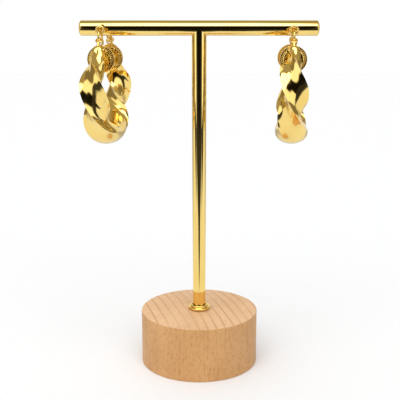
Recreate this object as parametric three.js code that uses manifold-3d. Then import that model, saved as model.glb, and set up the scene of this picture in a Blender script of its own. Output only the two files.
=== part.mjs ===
// A pair of twisted hoop earrings hanging on a T-bar stand with a turned wooden base.
// Millimetres, +Z up. X runs along the cross bar, the front of the stand faces -Y.
import * as THREE from 'three';
import { mergeVertices } from 'three/addons/utils/BufferGeometryUtils.js';
import Module from 'manifold-3d';

const wasm = await Module();
wasm.setup();
const { Manifold, Mesh: SolidMesh } = wasm;

// Wooden base: a plain turned disc with a blind socket for the post's spigot
const BASE_RADIUS = 25.3;
const BASE_HEIGHT = 23.5;
const BASE_CHAMFER = 0.4;
const SOCKET_RADIUS = 2.4;
const SOCKET_DEPTH = 10;
const BASE_SIDES = 64;

// Foot flange: a stepped collar sitting on the wood around the post
const FLANGE_RADIUS = 4.9;
const FLANGE_STEP_RADIUS = 3.9;
const FLANGE_RIM_HEIGHT = 1.1;
const FLANGE_HEIGHT = 1.9;
const FLANGE_SIDES = 32;
const FIT_GAP = 0.3;

// T stand: a slightly tapered post soldered under a round cross bar
const BAR_AXIS_HEIGHT = 144.7;
const BAR_RADIUS = 3.1;
const BAR_HALF_LENGTH = 49.2;
const BAR_DOME_LENGTH = 1.1;
const POST_TOP_RADIUS = 3.1;
const POST_FOOT_RADIUS = 2.7;
const SPIGOT_RADIUS = 2.1;
const SPIGOT_LENGTH = 9;
const STAND_SIDES = 32;
const WIRE_HOLE_RADIUS = 0.8;
const HOLE_SIDES = 12;

// Ear wires: a straight pin through the bar with a round eye at each end
const EARRINGS = [
  { side: 'left', x: -38.6, turn: 11.5, twistStart: -0.1, coinTurn: 9, coinSwing: { front: 0, back: 0 } },
  { side: 'right', x: 38.6, turn: 4, twistStart: -0.055, coinTurn: 2, coinSwing: { front: 0, back: 6 } },
];
const WIRE_RADIUS = 0.45;
const PIN_RISE = 0.8;
const EYE_OFFSET = 6;
const EYE_RING_RADIUS = 1.5;
const EYE_WIRE_RADIUS = 0.5;

// Jump rings: one in each eye, standing front to back
const JUMP_RING_RADIUS = 2.3;
const JUMP_WIRE_RADIUS = 0.5;
const JUMP_SLACK = 0.18;

// Coins: a thin disc with a raised rim, a short neck and a hanging eye
const COIN_RADIUS = 5.5;
const COIN_HALF_THICKNESS = 0.6;
const COIN_FACE_HALF_THICKNESS = 0.38;
const COIN_RIM_WIDTH = 0.7;
const COIN_CENTRE_DROP = 12.3;
const COIN_SIDES = 32;
const LUG_RING_RADIUS = 1.17;
const LUG_WIRE_RADIUS = 0.33;
const NECK_RADIUS = 0.6;

// Hoops: a twisted three-faced bar on an oval centre line that is open at the top. The faces are
// hollow with soft lips between them, fill out round the belly and die away at both ends.
const HOOP_HALF_DEPTH = 16;
const HOOP_HALF_HEIGHT = 19.2;
const HOOP_CENTRE_DROP = 23.6;
const HOOP_END_OFFSET = 8.2;
const HOOP_WIDTH_END = 4.4;
const HOOP_WIDTH_MIDDLE = 13.4;
const HOOP_WALL_END = 2.8;
const HOOP_WALL_MIDDLE = 9.4;
const HOOP_SWELL_REACH = 0.2;
const FACES = 3;
const FACE_HOLLOW = 1.25;
const FACE_REACH = 0.06;
const TWIST_TURNS = 1.75;
const LIP_SKEW = 1.2;
const LIP_SOFTNESS = 0.12;
const LIP_BREAK = 0.09;
const BELLY_START = 0.28;
const BELLY_FULL = 0.46;
const PINCH_PLACE = 0.045;
const PINCH_LENGTH = 0.02;
const PINCH_WIDTH = 0.6;
const PINCH_DEPTH = 0.4;
const END_ROUNDING = 0.02;
const HOOP_STEPS = 46;
const HOOP_POINTS_PER_FACE = 7;
const HOOP_LUG_SPREAD = 50;

const TORUS_STEPS = 16;
const TORUS_SIDES = 6;
const PIN_SIDES = 8;

// The jump ring's centre: its top runs through the eye just under the eye's middle
const JUMP_CENTRE_Z = PIN_RISE - EYE_RING_RADIUS - JUMP_SLACK - JUMP_RING_RADIUS;

function toSolid(geometry) {
  const bare = geometry.index ? geometry.clone() : geometry;
  bare.deleteAttribute('normal');
  bare.deleteAttribute('uv');
  const merged = mergeVertices(bare, 1e-4);
  const mesh = new SolidMesh({
    numProp: 3,
    vertProperties: new Float32Array(merged.attributes.position.array),
    triVerts: new Uint32Array(merged.index.array),
  });
  mesh.merge();
  return new Manifold(mesh);
}

function toGeometry(solid) {
  const mesh = solid.getMesh();
  const geometry = new THREE.BufferGeometry();
  geometry.setAttribute('position', new THREE.BufferAttribute(new Float32Array(mesh.vertProperties), 3));
  geometry.setIndex(new THREE.BufferAttribute(new Uint32Array(mesh.triVerts), 1));
  geometry.computeVertexNormals();
  return geometry;
}

function turned(points, sides) {
  // A profile of [radius, height] pairs turned round the Z axis
  const profile = points.map(([radius, height]) => new THREE.Vector2(radius, height));
  return new THREE.LatheGeometry(profile, sides).rotateX(Math.PI / 2);
}

function rod(radius, from, to, sides) {
  const start = new THREE.Vector3(...from);
  const end = new THREE.Vector3(...to);
  const along = new THREE.Vector3().subVectors(end, start);
  const geometry = new THREE.CylinderGeometry(radius, radius, along.length(), sides);
  geometry.applyQuaternion(new THREE.Quaternion().setFromUnitVectors(
    new THREE.Vector3(0, 1, 0), along.clone().normalize()));
  return geometry.translate(...start.add(end).multiplyScalar(0.5).toArray());
}

function ringFacingFront(ringRadius, wireRadius) {
  return new THREE.TorusGeometry(ringRadius, wireRadius, TORUS_SIDES, TORUS_STEPS).rotateX(Math.PI / 2);
}

function ringFacingSide(ringRadius, wireRadius) {
  return new THREE.TorusGeometry(ringRadius, wireRadius, TORUS_SIDES, TORUS_STEPS).rotateY(Math.PI / 2);
}

// --- Stand ---
function woodBase() {
  return turned([
    [0, 0],
    [BASE_RADIUS - BASE_CHAMFER, 0],
    [BASE_RADIUS, BASE_CHAMFER],
    [BASE_RADIUS, BASE_HEIGHT - BASE_CHAMFER],
    [BASE_RADIUS - BASE_CHAMFER, BASE_HEIGHT],
    [SOCKET_RADIUS, BASE_HEIGHT],
    [SOCKET_RADIUS, BASE_HEIGHT - SOCKET_DEPTH],
    [0, BASE_HEIGHT - SOCKET_DEPTH],
  ], BASE_SIDES);
}

function footFlange() {
  const bottom = BASE_HEIGHT + FIT_GAP;
  const bore = POST_FOOT_RADIUS + FIT_GAP;
  const round = 0.35;
  return turned([
    [bore, bottom],
    [FLANGE_RADIUS - round, bottom],
    [FLANGE_RADIUS, bottom + round],
    [FLANGE_RADIUS, bottom + FLANGE_RIM_HEIGHT - round],
    [FLANGE_RADIUS - round, bottom + FLANGE_RIM_HEIGHT],
    [FLANGE_STEP_RADIUS, bottom + FLANGE_RIM_HEIGHT],
    [FLANGE_STEP_RADIUS, bottom + FLANGE_HEIGHT - round],
    [FLANGE_STEP_RADIUS - round, bottom + FLANGE_HEIGHT],
    [bore, bottom + FLANGE_HEIGHT],
    [bore, bottom],
  ], FLANGE_SIDES);
}

function hangingTurn(earring) {
  return -THREE.MathUtils.degToRad(earring.turn);
}

function tStand() {
  const foot = BASE_HEIGHT + FIT_GAP;
  const post = turned([
    [0, foot - SPIGOT_LENGTH],
    [SPIGOT_RADIUS, foot - SPIGOT_LENGTH],
    [SPIGOT_RADIUS, foot],
    [POST_FOOT_RADIUS, foot],
    [POST_TOP_RADIUS, BAR_AXIS_HEIGHT],
    [0, BAR_AXIS_HEIGHT],
  ], STAND_SIDES);
  const straight = BAR_HALF_LENGTH - BAR_DOME_LENGTH;
  const dome = [[0.5, 0.93], [0.85, 0.5]];
  const profile = [[0, -BAR_HALF_LENGTH]];
  for (const [out, up] of dome) profile.push([BAR_RADIUS * out, -straight - BAR_DOME_LENGTH * up]);
  profile.push([BAR_RADIUS, -straight], [BAR_RADIUS, straight]);
  for (const [out, up] of dome.toReversed()) profile.push([BAR_RADIUS * out, straight + BAR_DOME_LENGTH * up]);
  profile.push([0, BAR_HALF_LENGTH]);
  const bar = turned(profile, STAND_SIDES).rotateY(Math.PI / 2).translate(0, 0, BAR_AXIS_HEIGHT);
  let stand = toSolid(post).add(toSolid(bar));
  for (const earring of EARRINGS) {
    const reach = BAR_RADIUS + 2;
    const drill = rod(WIRE_HOLE_RADIUS, [0, -reach, PIN_RISE], [0, reach, PIN_RISE], HOLE_SIDES)
      .rotateZ(hangingTurn(earring))
      .translate(earring.x, 0, BAR_AXIS_HEIGHT);
    stand = stand.subtract(toSolid(drill));
  }
  return toGeometry(stand);
}

// --- Earrings, drawn about the point where the ear wire crosses the bar's axis ---
function drop(y, z) {
  return [0, y, z];
}

function earWire() {
  const eyeDrop = PIN_RISE - EYE_RING_RADIUS;
  let wire = toSolid(rod(WIRE_RADIUS, drop(-EYE_OFFSET, PIN_RISE), drop(EYE_OFFSET, PIN_RISE), PIN_SIDES));
  for (const end of [-1, 1]) {
    const eye = ringFacingFront(EYE_RING_RADIUS, EYE_WIRE_RADIUS).translate(...drop(end * EYE_OFFSET, eyeDrop));
    wire = wire.add(toSolid(eye));
  }
  return toGeometry(wire);
}

function jumpRing(end) {
  return ringFacingSide(JUMP_RING_RADIUS, JUMP_WIRE_RADIUS).translate(...drop(end * EYE_OFFSET, JUMP_CENTRE_Z));
}

function coin(end, turn, swing) {
  const rim = COIN_RADIUS - COIN_RIM_WIDTH;
  const edge = 0.15;
  const disc = turned([
    [0, -COIN_FACE_HALF_THICKNESS],
    [rim - edge, -COIN_FACE_HALF_THICKNESS],
    [rim, -COIN_HALF_THICKNESS],
    [COIN_RADIUS - edge, -COIN_HALF_THICKNESS],
    [COIN_RADIUS, -COIN_HALF_THICKNESS + edge],
    [COIN_RADIUS, COIN_HALF_THICKNESS - edge],
    [COIN_RADIUS - edge, COIN_HALF_THICKNESS],
    [rim, COIN_HALF_THICKNESS],
    [rim - edge, COIN_FACE_HALF_THICKNESS],
    [0, COIN_FACE_HALF_THICKNESS],
  ], COIN_SIDES).rotateX(Math.PI / 2).translate(0, 0, -COIN_CENTRE_DROP);
  const lugZ = JUMP_CENTRE_Z - JUMP_RING_RADIUS;
  const lug = ringFacingFront(LUG_RING_RADIUS, LUG_WIRE_RADIUS).translate(0, 0, lugZ);
  const neck = rod(NECK_RADIUS, drop(0, lugZ - LUG_RING_RADIUS),
    drop(0, -COIN_CENTRE_DROP + COIN_RADIUS - COIN_RIM_WIDTH / 2), PIN_SIDES);
  const whole = toSolid(disc).add(toSolid(lug)).add(toSolid(neck));
  return toGeometry(whole)
    .translate(0, 0, -lugZ)
    .rotateY(THREE.MathUtils.degToRad(swing))
    .rotateZ(THREE.MathUtils.degToRad(turn))
    .translate(0, end * EYE_OFFSET, lugZ);
}

function hoopCentre(along) {
  // The middle of the bar: along runs from the front end (0) to the back end (1)
  const half = Math.asin(HOOP_END_OFFSET / HOOP_HALF_DEPTH);
  const phi = half + (2 * Math.PI - 2 * half) * along;
  const outward = new THREE.Vector2(-Math.sin(phi) / HOOP_HALF_DEPTH, Math.cos(phi) / HOOP_HALF_HEIGHT);
  return {
    y: -HOOP_HALF_DEPTH * Math.sin(phi),
    z: HOOP_HALF_HEIGHT * Math.cos(phi) - HOOP_CENTRE_DROP,
    outward: outward.normalize(),
  };
}

function faceReach(around) {
  // How far the section stands out at a place round it: 1 at a lip, less across a hollow face
  const across = ((FACES * around) / (2 * Math.PI)) % 1;
  const halfFace = Math.PI / FACES;
  const flat = Math.cos(halfFace) / Math.cos(halfFace * (2 * across ** LIP_SKEW - 1));
  const lipGap = Math.min(across, 1 - across) / LIP_SOFTNESS;
  return flat ** FACE_HOLLOW - LIP_BREAK * Math.exp(-lipGap * lipGap);
}

function hoopPoint(along, around, twistStart) {
  const centre = hoopCentre(along);
  const fromEnd = Math.min(along, 1 - along);
  const swell = THREE.MathUtils.smoothstep(fromEnd, 0, HOOP_SWELL_REACH);
  const width = THREE.MathUtils.lerp(HOOP_WIDTH_END, HOOP_WIDTH_MIDDLE, swell);
  const wall = THREE.MathUtils.lerp(HOOP_WALL_END, HOOP_WALL_MIDDLE, swell);
  const belly = THREE.MathUtils.smoothstep(fromEnd, BELLY_START, BELLY_FULL);
  const depth = THREE.MathUtils.smoothstep(fromEnd, 0, FACE_REACH) * (1 - belly);
  const closing = Math.min(1, fromEnd / END_ROUNDING);
  const angle = around - 2 * Math.PI * (TWIST_TURNS * along + twistStart);
  // A thumbed hollow in the outside, close to each end
  const offOuter = Math.acos(Math.sin(angle)) / PINCH_WIDTH;
  const offPinch = (fromEnd - PINCH_PLACE) / PINCH_LENGTH;
  const pinch = 1 - PINCH_DEPTH * Math.exp(-offOuter * offOuter - offPinch * offPinch);
  const size = 0.5 * Math.sqrt(1 - (1 - closing) ** 2) * (1 - depth * (1 - faceReach(around))) * pinch;
  const outwards = wall * size * Math.sin(angle);
  return [
    width * size * Math.cos(angle),
    centre.y + centre.outward.x * outwards,
    centre.z + centre.outward.y * outwards,
  ];
}

function hoopSkin(twistStart) {
  const stations = [0, 0.15, 0.5, 1].map((part) => part * END_ROUNDING);
  for (let step = 1; step < HOOP_STEPS; step += 1) {
    stations.push(END_ROUNDING + (1 - 2 * END_ROUNDING) * (step / HOOP_STEPS));
  }
  stations.push(...[1, 0.5, 0.15, 0].map((part) => 1 - part * END_ROUNDING));
  const count = FACES * HOOP_POINTS_PER_FACE;
  const positions = [];
  const index = [];
  positions.push(...hoopPoint(0, 0, twistStart));
  for (const along of stations.slice(1, -1)) {
    for (let j = 0; j < count; j += 1) {
      positions.push(...hoopPoint(along, (2 * Math.PI * j) / count, twistStart));
    }
  }
  positions.push(...hoopPoint(1, 0, twistStart));
  const rows = stations.length - 2;
  const last = 1 + rows * count;
  const at = (row, j) => 1 + row * count + (j % count);
  for (let j = 0; j < count; j += 1) {
    index.push(0, at(0, j + 1), at(0, j));
    for (let row = 0; row < rows - 1; row += 1) {
      index.push(at(row, j), at(row, j + 1), at(row + 1, j));
      index.push(at(row, j + 1), at(row + 1, j + 1), at(row + 1, j));
    }
    index.push(at(rows - 1, j), at(rows - 1, j + 1), last);
  }
  const geometry = new THREE.BufferGeometry();
  geometry.setAttribute('position', new THREE.BufferAttribute(new Float32Array(positions), 3));
  geometry.setIndex(index);
  return geometry;
}

function hoop(twistStart) {
  let whole = toSolid(hoopSkin(twistStart));
  const spread = THREE.MathUtils.degToRad(HOOP_LUG_SPREAD);
  for (const end of [-1, 1]) {
    const lug = ringFacingFront(LUG_RING_RADIUS, LUG_WIRE_RADIUS)
      .translate(0, 0, -JUMP_RING_RADIUS)
      .rotateX(end * spread)
      .translate(0, end * EYE_OFFSET, JUMP_CENTRE_Z);
    const out = JUMP_RING_RADIUS + LUG_RING_RADIUS;
    const from = drop(end * (EYE_OFFSET + out * Math.sin(spread)), JUMP_CENTRE_Z - out * Math.cos(spread));
    const { y, z } = hoopCentre(end < 0 ? END_ROUNDING : 1 - END_ROUNDING);
    const neck = rod(NECK_RADIUS, from, drop(y, z), PIN_SIDES);
    whole = whole.add(toSolid(lug)).add(toSolid(neck));
  }
  return toGeometry(whole);
}

// --- Assembly ---
const beech = new THREE.MeshStandardMaterial({ color: 0xdfb488, roughness: 0.55, metalness: 0 });
const standGold = new THREE.MeshStandardMaterial({ color: 0xe0b455, roughness: 0.08, metalness: 1 });
const hoopGold = new THREE.MeshStandardMaterial({ color: 0xe2b44f, roughness: 0.07, metalness: 1 });
const coinGold = new THREE.MeshStandardMaterial({ color: 0xd6a544, roughness: 0.2, metalness: 1 });

function piece(name, geometry, material) {
  const mesh = new THREE.Mesh(geometry, material);
  mesh.name = name;
  return mesh;
}

function hangingEarring(earring) {
  const group = new THREE.Group();
  group.position.set(earring.x, 0, BAR_AXIS_HEIGHT);
  group.rotation.z = hangingTurn(earring);
  group.add(piece(`ear_wire_${earring.side}`, earWire(), standGold));
  group.add(piece(`hoop_${earring.side}`, hoop(earring.twistStart), hoopGold));
  for (const [end, place] of [[-1, 'front'], [1, 'back']]) {
    group.add(piece(`jump_ring_${earring.side}_${place}`, jumpRing(end), standGold));
    group.add(piece(`coin_${earring.side}_${place}`, coin(end, earring.coinTurn, earring.coinSwing[place]), coinGold));
  }
  return group;
}

const assembly = new THREE.Group();
assembly.add(piece('wood_base', woodBase(), beech));
assembly.add(piece('foot_flange', footFlange(), standGold));
assembly.add(piece('t_stand', tStand(), standGold));
for (const earring of EARRINGS) assembly.add(hangingEarring(earring));

export default assembly;
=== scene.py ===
# A pair of chunky twisted hoop earrings with little hanging coins, on a polished T-bar stand
# with a turned beech base. Metres, +Z up, X along the cross bar, the front faces -Y.
import math

import bpy
from mathutils import Matrix, Vector, noise


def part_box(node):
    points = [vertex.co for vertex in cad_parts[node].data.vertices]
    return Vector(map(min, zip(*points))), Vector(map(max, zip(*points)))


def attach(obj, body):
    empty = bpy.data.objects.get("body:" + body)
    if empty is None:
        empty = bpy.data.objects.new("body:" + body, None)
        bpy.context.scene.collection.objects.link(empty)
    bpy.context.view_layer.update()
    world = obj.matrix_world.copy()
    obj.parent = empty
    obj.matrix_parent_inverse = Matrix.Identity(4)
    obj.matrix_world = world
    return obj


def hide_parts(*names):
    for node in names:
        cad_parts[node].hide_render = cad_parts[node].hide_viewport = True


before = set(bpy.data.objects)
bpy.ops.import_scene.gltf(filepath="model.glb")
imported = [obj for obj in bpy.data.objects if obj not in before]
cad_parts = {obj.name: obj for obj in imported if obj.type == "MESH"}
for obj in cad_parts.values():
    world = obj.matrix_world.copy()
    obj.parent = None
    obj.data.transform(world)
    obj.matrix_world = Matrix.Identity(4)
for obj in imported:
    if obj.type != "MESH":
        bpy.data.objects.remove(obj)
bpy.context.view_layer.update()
MM = 0.001


# --- Wooden base ---------------------------------------------------------------------------
# A solid disc of steamed beech, turned from a block with upright grain, sanded, its edges just
# broken and rubbed with wax. Its top is end grain, so the growth rings cross it as gentle arcs.
BASE_SIDES = 160
BROKEN_EDGE = 0.45 * MM
SOCKET_RADIUS = 2.4 * MM
SOCKET_DEPTH = 10 * MM
BEECH_PALE = (0.740, 0.475, 0.262)
BEECH_DEEP = (0.680, 0.420, 0.220)
BEECH_SIDE = (0.775, 0.660, 0.462)
BEECH_RING = (0.500, 0.235, 0.085)
BEECH_FLECK = (0.430, 0.165, 0.040)
# The tree's heart lay far to the left of the block and a little in front of it
PITH_X = -285 * MM
PITH_Y = -84 * MM
RINGS_PER_M2 = 440
RING_WANDER = 4 * MM
# Within one year's growth, from 0 to 1: where the darker late wood comes in and where it stops
LATE_WOOD_COMES = (0.62, 0.95)
LATE_WOOD_STOPS = (0.93, 0.99)
# Some years show less than others; on the turned side they hardly show at all
YEAR_MOOD = (0.35, 0.65)
RING_STRENGTH = (0.25, 0.7)
SIDE_RING_STRENGTH = 0.08
END_GRAIN_SLOPE = (0.5, 0.9)
MOTTLE = (0.3, 0.7)
PORES = (0.52, 0.74)
PORE_STRENGTH = 0.3
FLECKS = (0.52, 0.68)
FLECK_STRENGTH = 0.42
WAX_PATCH = (0.3, 0.7)
WAX_ROUGHNESS = (0.46, 0.6)
GRAIN_BUMP = 0.12
GRAIN_BUMP_DEPTH = 0.1 * MM


def mesh_piece(name, vertices, faces, sharp_angle=40):
    mesh = bpy.data.meshes.new(name)
    mesh.from_pydata(vertices, [], faces)
    mesh.update()
    for polygon in mesh.polygons:
        polygon.use_smooth = True
    mesh.set_sharp_from_angle(angle=math.radians(sharp_angle))
    piece = bpy.data.objects.new(name, mesh)
    bpy.context.scene.collection.objects.link(piece)
    return piece


def stitched(rows, sides):
    # Faces between closed rows of corners; a row of one repeated corner closes the skin to a point
    faces = []
    for lower, upper in zip(rows, rows[1:]):
        for step in range(sides):
            after = (step + 1) % sides
            corners = [lower[step], lower[after], upper[after], upper[step]]
            faces.append(tuple(dict.fromkeys(corners)))
    return faces


def turned_skin(profile, sides):
    # Vertices and faces of a closed turning; profile is (radius, height) pairs from the underside up
    vertices = []
    rows = []
    for radius, height in profile:
        start = len(vertices)
        if radius == 0:
            vertices.append((0.0, 0.0, height))
            rows.append([start] * sides)
            continue
        for step in range(sides):
            turn = 2 * math.pi * step / sides
            vertices.append((radius * math.cos(turn), radius * math.sin(turn), height))
        rows.append(list(range(start, start + sides)))
    return vertices, stitched(rows, sides)


def quarter_round(centre_radius, centre_height, size, start, end, steps=5):
    # Points of a small rounded edge, from one angle to the other in degrees
    points = []
    for step in range(steps + 1):
        angle = math.radians(start + (end - start) * step / steps)
        points.append((centre_radius + size * math.cos(angle), centre_height + size * math.sin(angle)))
    return points


def new_finish(name):
    # An empty finish: the material, its node graph and its shader
    material = bpy.data.materials.new(name)
    material.use_nodes = True
    return material, material.node_tree, material.node_tree.nodes["Principled BSDF"]


def reckon(graph, operation, first, second=0):
    node = graph.nodes.new("ShaderNodeMath")
    node.operation = operation
    for socket, value in zip(node.inputs, (first, second)):
        if isinstance(value, (int, float)):
            socket.default_value = value
        else:
            graph.links.new(value, socket)
    return node.outputs[0]


def plus(graph, first, second):
    return reckon(graph, "ADD", first, second)


def minus(graph, first, second):
    return reckon(graph, "SUBTRACT", first, second)


def times(graph, first, second):
    return reckon(graph, "MULTIPLY", first, second)


def tint(graph, factor, first, second, blend="MIX"):
    node = graph.nodes.new("ShaderNodeMix")
    node.data_type = "RGBA"
    node.blend_type = blend
    graph.links.new(factor, node.inputs["Factor"])
    # Sockets 6, 7 and 2 are the node's two colours and its mixed colour
    for socket, value in ((node.inputs[6], first), (node.inputs[7], second)):
        if isinstance(value, tuple):
            socket.default_value = (*value, 1)
        else:
            graph.links.new(value, socket)
    return node.outputs[2]


def soft_step(graph, value, low, high, to_low=0.0, to_high=1.0):
    node = graph.nodes.new("ShaderNodeMapRange")
    node.interpolation_type = "SMOOTHSTEP"
    graph.links.new(value, node.inputs["Value"])
    node.inputs["From Min"].default_value = low
    node.inputs["From Max"].default_value = high
    node.inputs["To Min"].default_value = to_low
    node.inputs["To Max"].default_value = to_high
    return node.outputs["Result"]


def grain(graph, place, stretch, scale, detail):
    # Noise drawn out along an axis by a small stretch number, coarser for a smaller scale
    mapping = graph.nodes.new("ShaderNodeMapping")
    graph.links.new(place, mapping.inputs["Vector"])
    mapping.inputs["Scale"].default_value = stretch
    texture = graph.nodes.new("ShaderNodeTexNoise")
    graph.links.new(mapping.outputs["Vector"], texture.inputs["Vector"])
    texture.inputs["Scale"].default_value = scale
    texture.inputs["Detail"].default_value = detail
    return texture.outputs["Fac"]


def object_place(graph):
    return graph.nodes.new("ShaderNodeTexCoord").outputs["Object"]


def split_axes(graph, vector):
    split = graph.nodes.new("ShaderNodeSeparateXYZ")
    graph.links.new(vector, split.inputs[0])
    return split.outputs


def roughen(graph, shader, height, strength, depth):
    bump = graph.nodes.new("ShaderNodeBump")
    bump.inputs["Strength"].default_value = strength
    bump.inputs["Distance"].default_value = depth
    graph.links.new(height, bump.inputs["Height"])
    graph.links.new(bump.outputs["Normal"], shader.inputs["Normal"])


def growth_rings(graph, place, end_grain):
    # Rings round the heart grow closer outwards; each runs from pale early wood to a thin dark line
    axes = split_axes(graph, place)
    across = minus(graph, axes["X"], PITH_X)
    along = minus(graph, axes["Y"], PITH_Y)
    squared = plus(graph, times(graph, across, across), times(graph, along, along))
    wander = grain(graph, place, stretch=(1, 1, 0.7), scale=26, detail=1.0)
    from_pith = plus(graph, reckon(graph, "SQRT", squared), times(graph, wander, RING_WANDER))
    years = times(graph, times(graph, from_pith, from_pith), RINGS_PER_M2)
    year = reckon(graph, "FRACT", years)
    coming = soft_step(graph, year, *LATE_WOOD_COMES)
    going = soft_step(graph, year, *LATE_WOOD_STOPS, 1, 0)
    year_mood = grain(graph, place, stretch=(1, 0.1, 0.1), scale=130, detail=1.0)
    faint = soft_step(graph, year_mood, *YEAR_MOOD, *RING_STRENGTH)
    strength = plus(graph, times(graph, end_grain, faint), SIDE_RING_STRENGTH)
    return times(graph, times(graph, coming, going), strength)


def waxed_beech():
    material, graph, shader = new_finish("waxed_beech")
    place = object_place(graph)
    facing = split_axes(graph, graph.nodes.new("ShaderNodeNewGeometry").outputs["True Normal"])
    end_grain = soft_step(graph, facing["Z"], *END_GRAIN_SLOPE)
    side_grain = minus(graph, 1, end_grain)
    fine = grain(graph, place, stretch=(1, 1, 0.12), scale=900, detail=3.0)
    mottle = grain(graph, place, stretch=(1, 1, 0.4), scale=80, detail=3.0)
    wood = tint(graph, soft_step(graph, mottle, *MOTTLE), BEECH_DEEP, BEECH_PALE)
    wood = tint(graph, growth_rings(graph, place, end_grain), wood, BEECH_RING)
    wood = tint(graph, soft_step(graph, fine, *PORES, 0, PORE_STRENGTH), wood, BEECH_RING)
    # Medullary rays: short narrow brown flecks that stand upright on the turned side
    fleck = grain(graph, place, stretch=(1, 1, 0.3), scale=1900, detail=1.5)
    fleck = times(graph, soft_step(graph, fleck, *FLECKS, 0, FLECK_STRENGTH), side_grain)
    wood = tint(graph, fleck, wood, BEECH_FLECK)
    wood = tint(graph, side_grain, wood, BEECH_SIDE, "MULTIPLY")
    graph.links.new(wood, shader.inputs["Base Color"])
    graph.links.new(soft_step(graph, fine, *WAX_PATCH, *WAX_ROUGHNESS), shader.inputs["Roughness"])
    roughen(graph, shader, fine, GRAIN_BUMP, GRAIN_BUMP_DEPTH)
    return material


_, base_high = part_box("wood_base")
base_radius = base_high[0]
base_top = base_high[2]
edge_radius = base_radius - BROKEN_EDGE
socket_floor = base_top - SOCKET_DEPTH
base_profile = [(0, 0)]
base_profile += quarter_round(edge_radius, BROKEN_EDGE, BROKEN_EDGE, -90, 0)
base_profile += quarter_round(edge_radius, base_top - BROKEN_EDGE, BROKEN_EDGE, 0, 90)
base_profile += [(SOCKET_RADIUS, base_top), (SOCKET_RADIUS, socket_floor), (0, socket_floor)]
wood_base = mesh_piece("turned_base", *turned_skin(base_profile, BASE_SIDES))
wood_base.data.materials.append(waxed_beech())
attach(wood_base, "stand")
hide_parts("wood_base")


# --- Foot flange ---------------------------------------------------------------------------
# A spun brass collar, stepped, with rolled edges, polished and gold plated. It slides on the
# post's foot and covers the hole in the wood.
FLANGE_SIDES = 96
FLANGE_BORE = 3.0 * MM
FLANGE_STEP = 1.0 * MM
FLANGE_RIM_HEIGHT = 1.1 * MM
ROLLED_EDGE = 0.35 * MM
INNER_FILLET = 0.2 * MM
GOLD = (0.930, 0.692, 0.235)
GOLD_WORN = (0.900, 0.648, 0.195)
WORN_PATCH = (0.35, 0.7)
HAZE_PATCH = (0.3, 0.75)
HAZE_DULLEST = 1.4
HAZE_BRIGHTEST = 0.7
POLISH_DEPTH = 0.05 * MM


def polished_gold(name, roughness, ripple):
    material, graph, shader = new_finish(name)
    shader.inputs["Metallic"].default_value = 1.0
    place = object_place(graph)
    patch = grain(graph, place, stretch=(1, 1, 1), scale=90, detail=2.0)
    haze = grain(graph, place, stretch=(1, 1, 1), scale=420, detail=3.0)
    plating = tint(graph, soft_step(graph, patch, *WORN_PATCH), GOLD, GOLD_WORN)
    graph.links.new(plating, shader.inputs["Base Color"])
    dulled = soft_step(graph, haze, *HAZE_PATCH, roughness * HAZE_BRIGHTEST, roughness * HAZE_DULLEST)
    graph.links.new(dulled, shader.inputs["Roughness"])
    roughen(graph, shader, haze, ripple, POLISH_DEPTH)
    return material


flange_low, flange_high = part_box("foot_flange")
flange_radius = flange_high[0]
flange_bottom = flange_low[2]
flange_top = flange_high[2]
hub_radius = flange_radius - FLANGE_STEP
rim_top = flange_bottom + FLANGE_RIM_HEIGHT
rim_roll_radius = flange_radius - ROLLED_EDGE
flange_profile = [(FLANGE_BORE, flange_bottom)]
flange_profile += quarter_round(rim_roll_radius, flange_bottom + ROLLED_EDGE, ROLLED_EDGE, -90, 0)
flange_profile += quarter_round(rim_roll_radius, rim_top - ROLLED_EDGE, ROLLED_EDGE, 0, 90)
flange_profile += quarter_round(hub_radius + INNER_FILLET, rim_top + INNER_FILLET, INNER_FILLET, 270, 180)
flange_profile += quarter_round(hub_radius - ROLLED_EDGE, flange_top - ROLLED_EDGE, ROLLED_EDGE, 0, 90)
flange_profile += [(FLANGE_BORE, flange_top), (FLANGE_BORE, flange_bottom)]
flange = mesh_piece("foot_collar", *turned_skin(flange_profile, FLANGE_SIDES), sharp_angle=50)
flange.data.materials.append(polished_gold("flange_gold", roughness=0.07, ripple=0.04))
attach(flange, "stand")
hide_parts("foot_flange")


# --- T stand -------------------------------------------------------------------------------
# Two round steel rods silver-soldered into a T, the post drawn slightly slimmer towards its
# foot, the bar's ends softly domed, then buffed to a mirror and plated with pale gold.
BAR_SIDES = 128
POST_SIDES = 128
DOME_LENGTH = 1.1 * MM
DOME_STEPS = 10
SPIGOT_RADIUS = 2.1 * MM
POST_FOOT_RADIUS = 2.7 * MM
# The post's top is a hair thinner than the bar that it is soldered into
POST_TOP_SHARE = 0.999
PIN_RISE = 0.8 * MM
PIN_HOLE_RADIUS = 0.8 * MM
DRILL_LENGTH = 12 * MM
WIRE_SIDES = 32
# Each earring's side, its place along the bar, and how many degrees it hangs turned from square
EARRINGS = (("left", -38.6 * MM, 11.5), ("right", 38.6 * MM, 4.0))

stand_low, stand_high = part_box("t_stand")
bar_radius = stand_high[1]
bar_height = stand_high[2] - bar_radius
bar_half = stand_high[0]
spigot_bottom = stand_low[2]
post_foot = flange_bottom


def on_bar(side_x, turn):
    # The place where an ear wire crosses the bar, turned as that earring hangs
    return Matrix.Translation((side_x, 0, bar_height)) @ Matrix.Rotation(math.radians(-turn), 4, "Z")


def rod_skin(radius, length, edge=0.0):
    profile = [(0, 0)]
    if edge:
        profile += quarter_round(radius - edge, edge, edge, -90, 0)
        profile += quarter_round(radius - edge, length - edge, edge, 0, 90)
    else:
        profile += [(radius, 0), (radius, length)]
    profile += [(0, length)]
    return turned_skin(profile, WIRE_SIDES)


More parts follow.
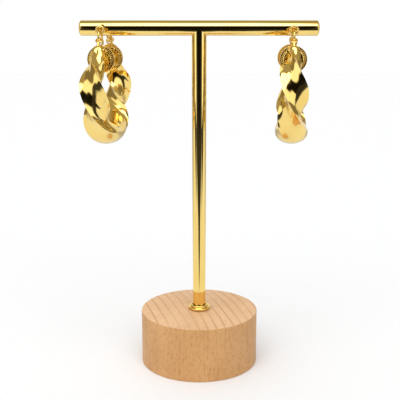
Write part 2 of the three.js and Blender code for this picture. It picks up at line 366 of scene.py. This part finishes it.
def worked(piece, tool, operation):
    # Solder the tool into the piece (UNION) or take its shape away (DIFFERENCE)
    modifier = piece.modifiers.new(operation.lower(), "BOOLEAN")
    modifier.object = tool
    modifier.operation = operation
    modifier.solver = "EXACT"
    depsgraph = bpy.context.evaluated_depsgraph_get()
    finished = bpy.data.meshes.new_from_object(piece.evaluated_get(depsgraph))
    piece.modifiers.remove(modifier)
    piece.data = finished
    bpy.data.objects.remove(tool)


post_profile = [(0, spigot_bottom), (SPIGOT_RADIUS, spigot_bottom), (SPIGOT_RADIUS, post_foot),
                (POST_FOOT_RADIUS, post_foot), (bar_radius * POST_TOP_SHARE, bar_height), (0, bar_height)]
t_stand = mesh_piece("t_stand_metal", *turned_skin(post_profile, POST_SIDES))

bar_profile = []
for step in range(DOME_STEPS + 1):
    angle = math.pi / 2 * step / DOME_STEPS
    bar_profile.append((bar_radius * math.sin(angle), -bar_half + DOME_LENGTH * (1 - math.cos(angle))))
bar_profile += [(radius, -height) for radius, height in reversed(bar_profile)]
bar_vertices, bar_faces = turned_skin(bar_profile, BAR_SIDES)
cross_bar = mesh_piece("cross_bar", [(z, y, bar_height - x) for x, y, z in bar_vertices], bar_faces)
worked(t_stand, cross_bar, "UNION")
drill_vertices, drill_faces = rod_skin(PIN_HOLE_RADIUS, DRILL_LENGTH)
drill_vertices = [(x, z - DRILL_LENGTH / 2, PIN_RISE - y) for x, y, z in drill_vertices]
for side, side_x, turn in EARRINGS:
    drill = mesh_piece("drill", drill_vertices, drill_faces)
    drill.data.transform(on_bar(side_x, turn))
    worked(t_stand, drill, "DIFFERENCE")
for polygon in t_stand.data.polygons:
    polygon.use_smooth = True
t_stand.data.set_sharp_from_angle(angle=math.radians(30))
t_stand.data.materials.clear()
t_stand.data.materials.append(polished_gold("stand_gold", roughness=0.045, ripple=0.015))
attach(t_stand, "stand")
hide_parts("t_stand")


# --- Ear wires -----------------------------------------------------------------------------
# A straight gold-plated pin pushed through the drilled bar, with a round wire eye soldered on
# at each end to carry the earring's rings.
PIN_RADIUS = 0.45 * MM
PIN_EDGE = 0.1 * MM
EYE_OFFSET = 6 * MM
EYE_RING_RADIUS = 1.5 * MM
EYE_WIRE_RADIUS = 0.5 * MM
EYE_CENTRE_Z = PIN_RISE - EYE_RING_RADIUS


def ring_skin(ring_radius, wire_radius, ring_steps=64, wire_steps=24):
    # A round wire ring lying in X-Z, its middle at the origin
    vertices = []
    faces = []
    for i in range(ring_steps):
        around = 2 * math.pi * i / ring_steps
        for j in range(wire_steps):
            section = 2 * math.pi * j / wire_steps
            reach = ring_radius + wire_radius * math.cos(section)
            rise = wire_radius * math.sin(section)
            vertices.append((reach * math.sin(around), rise, reach * math.cos(around)))
            after_i = (i + 1) % ring_steps
            after_j = (j + 1) % wire_steps
            corners = (i * wire_steps + j, i * wire_steps + after_j,
                       after_i * wire_steps + after_j, after_i * wire_steps + j)
            faces.append(corners[::-1])
    return vertices, faces


def gathered(skins):
    # Several skins, each with its own placing matrix, as one list of vertices and faces
    vertices = []
    faces = []
    for (part_vertices, part_faces), placing in skins:
        first = len(vertices)
        vertices += [tuple(placing @ Vector(point)) for point in part_vertices]
        faces += [tuple(first + corner for corner in face) for face in part_faces]
    return vertices, faces


wire_gold = polished_gold("ear_wire_gold", roughness=0.07, ripple=0.03)
along_y = Matrix.Rotation(math.radians(-90), 4, "X")
for side, side_x, turn in EARRINGS:
    pin_place = Matrix.Translation((0, -EYE_OFFSET, PIN_RISE)) @ along_y
    skins = [(rod_skin(PIN_RADIUS, 2 * EYE_OFFSET, PIN_EDGE), pin_place)]
    for end in (-1, 1):
        eye_place = Matrix.Translation((0, end * EYE_OFFSET, EYE_CENTRE_Z))
        skins.append((ring_skin(EYE_RING_RADIUS, EYE_WIRE_RADIUS), eye_place))
    ear_wire = mesh_piece(f"ear_pin_{side}", *gathered(skins))
    ear_wire.data.transform(on_bar(side_x, turn))
    ear_wire.data.materials.append(wire_gold)
    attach(ear_wire, "stand")
    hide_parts(f"ear_wire_{side}")


# --- Jump rings ----------------------------------------------------------------------------
# Small rings of round gold-plated wire, one through each eye, standing front to back and
# carrying both a coin and one end of the hoop.
JUMP_RING_RADIUS = 2.3 * MM
JUMP_WIRE_RADIUS = 0.5 * MM
JUMP_SLACK = 0.18 * MM
JUMP_CENTRE_Z = EYE_CENTRE_Z - JUMP_SLACK - JUMP_RING_RADIUS
ENDS = ((-1, "front"), (1, "back"))

ring_gold = polished_gold("jump_ring_gold", roughness=0.07, ripple=0.03)
for side, side_x, turn in EARRINGS:
    for end, place_name in ENDS:
        placing = on_bar(side_x, turn) @ Matrix.Translation((0, end * EYE_OFFSET, JUMP_CENTRE_Z))
        placing = placing @ Matrix.Rotation(math.radians(90), 4, "Z")
        skins = [(ring_skin(JUMP_RING_RADIUS, JUMP_WIRE_RADIUS), placing)]
        jump_ring = mesh_piece(f"jump_ring_{side}_{place_name}_wire", *gathered(skins))
        jump_ring.data.materials.append(ring_gold)
        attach(jump_ring, f"earring_{side}")
        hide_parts(f"jump_ring_{side}_{place_name}")


# --- Coins ---------------------------------------------------------------------------------
# Thin struck discs with a polished raised rim, a ring of beads and a worn abstract relief on
# both faces, hung from a small soldered eye. Cast, tumbled and gold plated.
COIN_RADIUS = 5.5 * MM
COIN_HALF = 0.6 * MM
COIN_FIELD = 0.34 * MM
COIN_RIM = 0.7 * MM
COIN_EDGE = 0.16 * MM
# How thick the coin still is at its outermost edge, as a share of the rim's thickness
EDGE_SHARE = 0.72
COIN_DROP = 12.3 * MM
# Degrees that a coin hangs off its hoop's line: turned about the upright, and swung sideways
COIN_TURN = {"left": 9.0, "right": 2.0}
COIN_SWING = {("right", "back"): 6.0}
COIN_RINGS = 72
COIN_SIDES = 192
# Rings crowd a little towards the rim, where the finest detail is
COIN_CROWDING = 0.85
BEADS = 34
BEAD_INSET = 0.38 * MM
BEAD_WIDTH = 0.26 * MM
BEAD_HEIGHT = 0.13 * MM
RELIEF_INSET = 0.5 * MM
RELIEF_FADE = 0.3 * MM
RELIEF_SINK = 0.05 * MM
RELIEF_HEIGHT = 0.17 * MM
# The relief: broad swells, fine marks and plumes spreading from the middle
RELIEF_LEVEL = 0.5
BROAD_SHARE = 0.55
FINE_SHARE = 0.38
PLUME_SHARE = 0.25
BROAD_PER_MM = 0.62
FINE_PER_MM = 2.1
PLUMES = 4
PLUME_WANDER = 5
PLUME_REACH = 2 * MM
# Each coin is struck from its own place in the noise
STRIKE_SIDE = {"left": 2.1, "right": 5.7}
STRIKE_END = 7.3
LUG_RING_RADIUS = 1.17 * MM
LUG_WIRE_RADIUS = 0.33 * MM
LUG_RING_STEPS = 48
LUG_WIRE_STEPS = 20
NECK_RADIUS = 0.6 * MM
NECK_EDGE = 0.05 * MM


def rim_height(radius, rim_inner):
    # The rounded rim: it rises from the field, runs level and drops at the outer edge
    inward = min(1.0, (radius - rim_inner) / COIN_EDGE)
    outward = min(1.0, (COIN_RADIUS - radius) / COIN_EDGE)
    rise = math.sin(inward * math.pi / 2) * math.sqrt(max(0.0, 1 - (1 - outward) ** 2))
    if radius < COIN_RADIUS - COIN_EDGE:
        return COIN_FIELD + (COIN_HALF - COIN_FIELD) * rise
    return COIN_HALF * (EDGE_SHARE + (1 - EDGE_SHARE) * rise)


def coin_height(radius, angle, strike):
    # Half the coin's thickness at a place on its face
    rim_inner = COIN_RADIUS - COIN_RIM
    if radius > rim_inner:
        return rim_height(radius, rim_inner)
    bead_line = rim_inner - BEAD_INSET
    bead = math.cos(angle * BEADS) * 0.5 + 0.5
    bead *= max(0.0, 1 - abs(radius - bead_line) / BEAD_WIDTH)
    spot = Vector((radius * math.cos(angle), radius * math.sin(angle), strike * MM)) / MM
    broad = noise.noise(spot * BROAD_PER_MM)
    fine = noise.noise(spot * FINE_PER_MM)
    plume = abs(math.sin(angle * PLUMES + PLUME_WANDER * broad))
    plume *= math.sin(min(1.0, radius / PLUME_REACH) * math.pi / 2)
    field = max(0.0, 1 - max(0.0, radius - (bead_line - RELIEF_INSET)) / RELIEF_FADE)
    relief = field * (RELIEF_LEVEL + BROAD_SHARE * broad + FINE_SHARE * fine + PLUME_SHARE * plume)
    return COIN_FIELD - RELIEF_SINK + RELIEF_HEIGHT * relief + BEAD_HEIGHT * bead


def coin_skin(strike):
    vertices = []
    rows = []
    radii = [COIN_RADIUS * ((step / COIN_RINGS) ** COIN_CROWDING) for step in range(COIN_RINGS + 1)]
    for facing, order in ((-1, radii), (1, list(reversed(radii)))):
        for radius in order:
            start = len(vertices)
            if radius == 0:
                vertices.append((0.0, facing * coin_height(0, 0, strike * facing), 0.0))
                rows.append([start] * COIN_SIDES)
                continue
            for step in range(COIN_SIDES):
                angle = 2 * math.pi * step / COIN_SIDES
                thick = coin_height(radius, angle, strike * facing)
                vertices.append((radius * math.sin(angle), facing * thick, radius * math.cos(angle)))
            rows.append(list(range(start, start + COIN_SIDES)))
    return vertices, stitched(rows, COIN_SIDES)


coin_gold = polished_gold("coin_gold", roughness=0.06, ripple=0.12)
lug_skin = ring_skin(LUG_RING_RADIUS, LUG_WIRE_RADIUS, LUG_RING_STEPS, LUG_WIRE_STEPS)
lug_z = JUMP_CENTRE_Z - JUMP_RING_RADIUS
neck_bottom = -COIN_DROP + COIN_RADIUS - COIN_RIM / 2
neck_length = lug_z - LUG_RING_RADIUS - neck_bottom
for side, side_x, turn in EARRINGS:
    for end, place_name in ENDS:
        skins = [
            (coin_skin(STRIKE_END * end + STRIKE_SIDE[side]), Matrix.Translation((0, 0, -COIN_DROP))),
            (lug_skin, Matrix.Translation((0, 0, lug_z))),
            (rod_skin(NECK_RADIUS, neck_length, NECK_EDGE), Matrix.Translation((0, 0, neck_bottom))),
        ]
        struck_coin = mesh_piece(f"struck_coin_{side}_{place_name}", *gathered(skins), sharp_angle=60)
        swing = Matrix.Rotation(math.radians(COIN_SWING.get((side, place_name), 0)), 4, "Y")
        swing = Matrix.Rotation(math.radians(COIN_TURN[side]), 4, "Z") @ swing
        hang = Matrix.Translation((0, end * EYE_OFFSET, lug_z)) @ swing @ Matrix.Translation((0, 0, -lug_z))
        struck_coin.data.transform(on_bar(side_x, turn) @ hang)
        struck_coin.data.materials.append(coin_gold)
        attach(struck_coin, f"earring_{side}")
        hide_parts(f"coin_{side}_{place_name}")


# --- Hoops ---------------------------------------------------------------------------------
# Each hoop is a three-faced bar twisted as it is bent round an oval, thin at both ends and full
# at the bottom. Its faces are hollow between soft lips, fill out to a smooth round belly, and it
# has a thumbed hollow near each end. Polished, gold plated, an eye soldered on at each end.
HOOP_HALF_DEPTH = 16 * MM
HOOP_HALF_HEIGHT = 19.2 * MM
HOOP_CENTRE_DROP = 23.6 * MM
HOOP_END_OFFSET = 8.2 * MM
WIDTH_END = 4.4 * MM
WIDTH_MIDDLE = 13.4 * MM
WALL_END = 2.8 * MM
WALL_MIDDLE = 9.4 * MM
# Places along the hoop and lengths of it are shares of its whole length
SWELL_REACH = 0.2
FACES = 3
TWIST_TURNS = 1.75
TWIST_START = {"left": -0.1, "right": -0.055}
FACE_REACH = 0.06
LIP_SKEW = 1.2
LIP_SOFTNESS = 0.12
LIP_BREAK = 0.09
FACE_HOLLOW = 1.25
BELLY_START = 0.28
BELLY_FULL = 0.46
PINCH_PLACE = 0.045
PINCH_LENGTH = 0.02
PINCH_WIDTH = 0.6
PINCH_DEPTH = 0.4
END_ROUNDING = 0.02
END_STEPS = 8
HOOP_STEPS = 420
HOOP_SIDES = 132
HOOP_LUG_SPREAD = 50


def ease(part):
    part = min(1.0, max(0.0, part))
    return part * part * (3 - 2 * part)


def hoop_centre(along):
    # The middle of the bar: along runs from the front end (0) under the bottom to the back end (1)
    half = math.asin(HOOP_END_OFFSET / HOOP_HALF_DEPTH)
    phi = half + (2 * math.pi - 2 * half) * along
    outward = Vector((0, -math.sin(phi) / HOOP_HALF_DEPTH, math.cos(phi) / HOOP_HALF_HEIGHT)).normalized()
    height = HOOP_HALF_HEIGHT * math.cos(phi) - HOOP_CENTRE_DROP
    centre = Vector((0, -HOOP_HALF_DEPTH * math.sin(phi), height))
    return centre, outward


def face_reach(around):
    # How far the section stands out at a place round it: 1 at a lip, less across a hollow face
    across = (FACES * around / (2 * math.pi)) % 1
    half_face = math.pi / FACES
    flat = math.cos(half_face) / math.cos(half_face * (2 * across ** LIP_SKEW - 1))
    lip_gap = min(across, 1 - across) / LIP_SOFTNESS
    return flat ** FACE_HOLLOW - LIP_BREAK * math.exp(-lip_gap * lip_gap)


def hoop_point(along, around, start_turn):
    centre, outward = hoop_centre(along)
    from_end = min(along, 1 - along)
    swell = ease(from_end / SWELL_REACH)
    width = WIDTH_END + (WIDTH_MIDDLE - WIDTH_END) * swell
    wall = WALL_END + (WALL_MIDDLE - WALL_END) * swell
    belly = ease((from_end - BELLY_START) / (BELLY_FULL - BELLY_START))
    depth = ease(from_end / FACE_REACH) * (1 - belly)
    closing = min(1.0, from_end / END_ROUNDING)
    size = 0.5 * math.sqrt(max(0.0, 1 - (1 - closing) ** 2)) * (1 - depth * (1 - face_reach(around)))
    angle = around - 2 * math.pi * (TWIST_TURNS * along + start_turn)
    # A thumbed hollow in the outside, close to each end
    off_outer = math.acos(max(-1.0, min(1.0, math.sin(angle)))) / PINCH_WIDTH
    off_pinch = (from_end - PINCH_PLACE) / PINCH_LENGTH
    size *= 1 - PINCH_DEPTH * math.exp(-off_outer * off_outer - off_pinch * off_pinch)
    sideways = Vector((width * size * math.cos(angle), 0, 0))
    return centre + sideways + outward * (wall * size * math.sin(angle))


def hoop_skin(start_turn):
    first_end = [END_ROUNDING * (step / END_STEPS) ** 2 for step in range(END_STEPS)]
    body = [END_ROUNDING + (1 - 2 * END_ROUNDING) * step / HOOP_STEPS for step in range(HOOP_STEPS + 1)]
    last_end = [1 - along for along in reversed(first_end)]
    vertices = []
    rows = []
    for along in first_end + body + last_end:
        start = len(vertices)
        if along in (0, 1):
            vertices.append(tuple(hoop_point(along, 0, start_turn)))
            rows.append([start] * HOOP_SIDES)
            continue
        for step in range(HOOP_SIDES):
            vertices.append(tuple(hoop_point(along, 2 * math.pi * step / HOOP_SIDES, start_turn)))
        rows.append(list(range(start, start + HOOP_SIDES)))
    return vertices, stitched(rows, HOOP_SIDES)


hoop_gold = polished_gold("hoop_gold", roughness=0.1, ripple=0.02)
spread = math.radians(HOOP_LUG_SPREAD)
for side, side_x, turn in EARRINGS:
    skins = [(hoop_skin(TWIST_START[side]), Matrix.Identity(4))]
    for end in (-1, 1):
        lug_place = Matrix.Translation((0, end * EYE_OFFSET, JUMP_CENTRE_Z))
        lug_place = lug_place @ Matrix.Rotation(end * spread, 4, "X")
        lug_place = lug_place @ Matrix.Translation((0, 0, -JUMP_RING_RADIUS))
        skins.append((lug_skin, lug_place))
        lug_foot = lug_place @ Vector((0, 0, -LUG_RING_RADIUS))
        hoop_end, _ = hoop_centre(END_ROUNDING if end < 0 else 1 - END_ROUNDING)
        reach = hoop_end - lug_foot
        neck_turn = reach.to_track_quat("Z", "Y").to_matrix().to_4x4()
        skins.append((rod_skin(NECK_RADIUS, reach.length), Matrix.Translation(lug_foot) @ neck_turn))
    twisted_hoop = mesh_piece(f"twisted_hoop_{side}", *gathered(skins), sharp_angle=70)
    twisted_hoop.data.transform(on_bar(side_x, turn))
    twisted_hoop.data.materials.append(hoop_gold)
    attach(twisted_hoop, f"earring_{side}")
    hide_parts(f"hoop_{side}")


# --- Table top -----------------------------------------------------------------------------
# A wide sheet of matt white card that the stand is set down on. The camera sees it plain white;
# to mirrored and bounced light its colour holds painted shade: dark in front, as under the camera,
# and dimmer far behind.
CARD_SIDE = 0.9
CARD_FRONT = -0.5
CARD_BACK = 1.6
CARD_FIBRE = (0.828, 0.833, 0.840)
CARD_WHITE = (0.848, 0.853, 0.860)
CARD_SHADED = (0.012, 0.010, 0.008)
CARD_ROUGHNESS = 0.85
CARD_SHINE = 0.2
FRONT_SHADE = (-0.225, -0.180)
TONGUE_TIP = -0.088
TONGUE_SPREAD = 0.45
TONGUE_EDGE = (-4 * MM, 5 * MM)
BACK_SHADE = (0.03, 0.3)
BACK_SHADE_STRENGTH = 0.5


def white_card():
    material, graph, shader = new_finish("white_card")
    shader.inputs["Roughness"].default_value = CARD_ROUGHNESS
    shader.inputs["Specular IOR Level"].default_value = CARD_SHINE
    place = object_place(graph)
    fibre = grain(graph, place, stretch=(1, 1, 1), scale=240, detail=3.0)
    white = tint(graph, fibre, CARD_FIBRE, CARD_WHITE)
    axes = split_axes(graph, place)
    # Painted shade in the card's colour in front of the stand, as under the camera
    shade = soft_step(graph, axes["Y"], *FRONT_SHADE, 1, 0)
    # The painted shade runs on towards the stand as a narrowing tongue
    off_middle = reckon(graph, "ABSOLUTE", axes["X"])
    tongue_half = times(graph, minus(graph, TONGUE_TIP, axes["Y"]), TONGUE_SPREAD)
    tongue = soft_step(graph, minus(graph, tongue_half, off_middle), *TONGUE_EDGE)
    shade = reckon(graph, "MAXIMUM", shade, tongue)
    # Painted shade, up to half strength, further behind the stand
    behind = soft_step(graph, axes["Y"], *BACK_SHADE, 0, BACK_SHADE_STRENGTH)
    shade = reckon(graph, "MAXIMUM", shade, behind)
    # The camera's own rays see no painted shade; all other rays see the card darkened by it
    camera_ray = graph.nodes.new("ShaderNodeLightPath").outputs["Is Camera Ray"]
    shade = times(graph, shade, minus(graph, 1, camera_ray))
    graph.links.new(tint(graph, shade, white, CARD_SHADED), shader.inputs["Base Color"])
    return material


card_corners = [(-CARD_SIDE, CARD_FRONT, 0), (CARD_SIDE, CARD_FRONT, 0),
                (CARD_SIDE, CARD_BACK, 0), (-CARD_SIDE, CARD_BACK, 0)]
table_card = mesh_piece("table_card", card_corners, [(0, 1, 2, 3)])
table_card.data.materials.append(white_card())


# --- Studio light --------------------------------------------------------------------------
# A white room: a large soft panel high in front, pale panels low on both sides, dim wings
# beyond them, a pale backdrop behind, and a dark gap low in front where the camera stands.
# The metal mirrors the room's dim parts warm.
# Heights are the upward part of a direction, from -1 to 1
PANEL_FOOT = 0.53
PANEL_FOOT_SOFTNESS = 0.02
PANEL_TOP = 0.985
PANEL_TOP_FADE = (-0.03, 0.01)
# Bearings in degrees from the front; each row is the near edge, the far edge and the softness
SIDE_PANELS = (24, 72, 5)
WINGS = (72, 126, 6)
OVERHEAD = (-50, 40, 8)
BACKDROP = (120, 134)
SIDE_PANEL_LIGHT = 1.3
WING_LIGHT = 0.24
BACKDROP_LIGHT = 0.9
GAP_LIGHT = 0.008
OVERHEAD_LIGHT = 2.6
CEILING_LIGHT = 0.42
# An even fill on matt surfaces only, a little stronger from the left
FILL_LIGHT = 0.345
FILL_LEAN = -0.26
DIM_LIGHT = (0.3, 1.2)
DIM_COLOUR = (1.0, 0.86, 0.60)
ROOM_WHITE = (1.0, 1.0, 1.0)

studio = bpy.data.worlds.new("studio")
bpy.context.scene.world = studio
studio.use_nodes = True
room = studio.node_tree
background = room.nodes["Background"]
direction = split_axes(room, room.nodes.new("ShaderNodeTexCoord").outputs["Generated"])
height = direction["Z"]
bearing = reckon(room, "ARCTAN2", direction["X"], times(room, direction["Y"], -1))
off_front = reckon(room, "ABSOLUTE", bearing)


def panel(value, near, far, softness):
    near, far, softness = (math.radians(degrees) for degrees in (near, far, softness))
    rise = soft_step(room, value, near - softness, near + softness)
    fall = soft_step(room, value, far - softness, far + softness, 1, 0)
    return times(room, rise, fall)


foot_low = PANEL_FOOT - PANEL_FOOT_SOFTNESS
foot_high = PANEL_FOOT + PANEL_FOOT_SOFTNESS
low_band = soft_step(room, height, foot_low, foot_high, 1, 0)
high_band = soft_step(room, height, foot_low, foot_high)
side_light = times(room, panel(off_front, *SIDE_PANELS), SIDE_PANEL_LIGHT)
wing_light = times(room, panel(off_front, *WINGS), WING_LIGHT)
backdrop = soft_step(room, off_front, *(math.radians(degrees) for degrees in BACKDROP))
back_light = plus(room, times(room, backdrop, BACKDROP_LIGHT), GAP_LIGHT)
low_light = plus(room, plus(room, side_light, wing_light), back_light)
overhead_top = soft_step(room, height, *(PANEL_TOP + fade for fade in PANEL_TOP_FADE), 1, 0)
overhead = times(room, panel(bearing, *OVERHEAD), overhead_top)
high_light = plus(room, times(room, overhead, OVERHEAD_LIGHT), CEILING_LIGHT)
room_light = plus(room, times(room, low_band, low_light), times(room, high_band, high_light))

ray_kind = room.nodes.new("ShaderNodeLightPath").outputs
fill = plus(room, times(room, direction["X"], FILL_LEAN), FILL_LIGHT)
room_light = plus(room, room_light, times(room, fill, ray_kind["Is Diffuse Ray"]))
# Only mirrored rays see the warm dim parts, and the camera itself sees plain white
not_mirrored = plus(room, ray_kind["Is Camera Ray"], ray_kind["Is Diffuse Ray"])
whiteness = reckon(room, "MAXIMUM", soft_step(room, room_light, *DIM_LIGHT), not_mirrored)
room.links.new(tint(room, whiteness, DIM_COLOUR, ROOM_WHITE), background.inputs["Color"])
room_or_white = room.nodes.new("ShaderNodeMix")
room.links.new(ray_kind["Is Camera Ray"], room_or_white.inputs["Factor"])
# Sockets 2 and 3 are the node's two plain numbers
room.links.new(room_light, room_or_white.inputs[2])
room_or_white.inputs[3].default_value = 1.0
room.links.new(room_or_white.outputs[0], background.inputs["Strength"])
bpy.context.scene.view_settings.view_transform = "Standard"


# --- Camera --------------------------------------------------------------------------------
# A short portrait lens a little above the bar and a third of a metre in front of it, tipped
# down towards the base.
LENS_MM = 74.3
SENSOR_MM = 36
CAMERA_PLACE = (0.35 * MM, -344.3 * MM, 153.0 * MM)
CAMERA_DIP = 13.15

camera_data = bpy.data.cameras.new("camera")
camera_data.sensor_width = SENSOR_MM
camera_data.lens = LENS_MM
camera = bpy.data.objects.new("camera", camera_data)
camera.location = CAMERA_PLACE
camera.rotation_euler = (math.radians(90 - CAMERA_DIP), 0, 0)
bpy.context.scene.collection.objects.link(camera)
bpy.context.scene.camera = camera
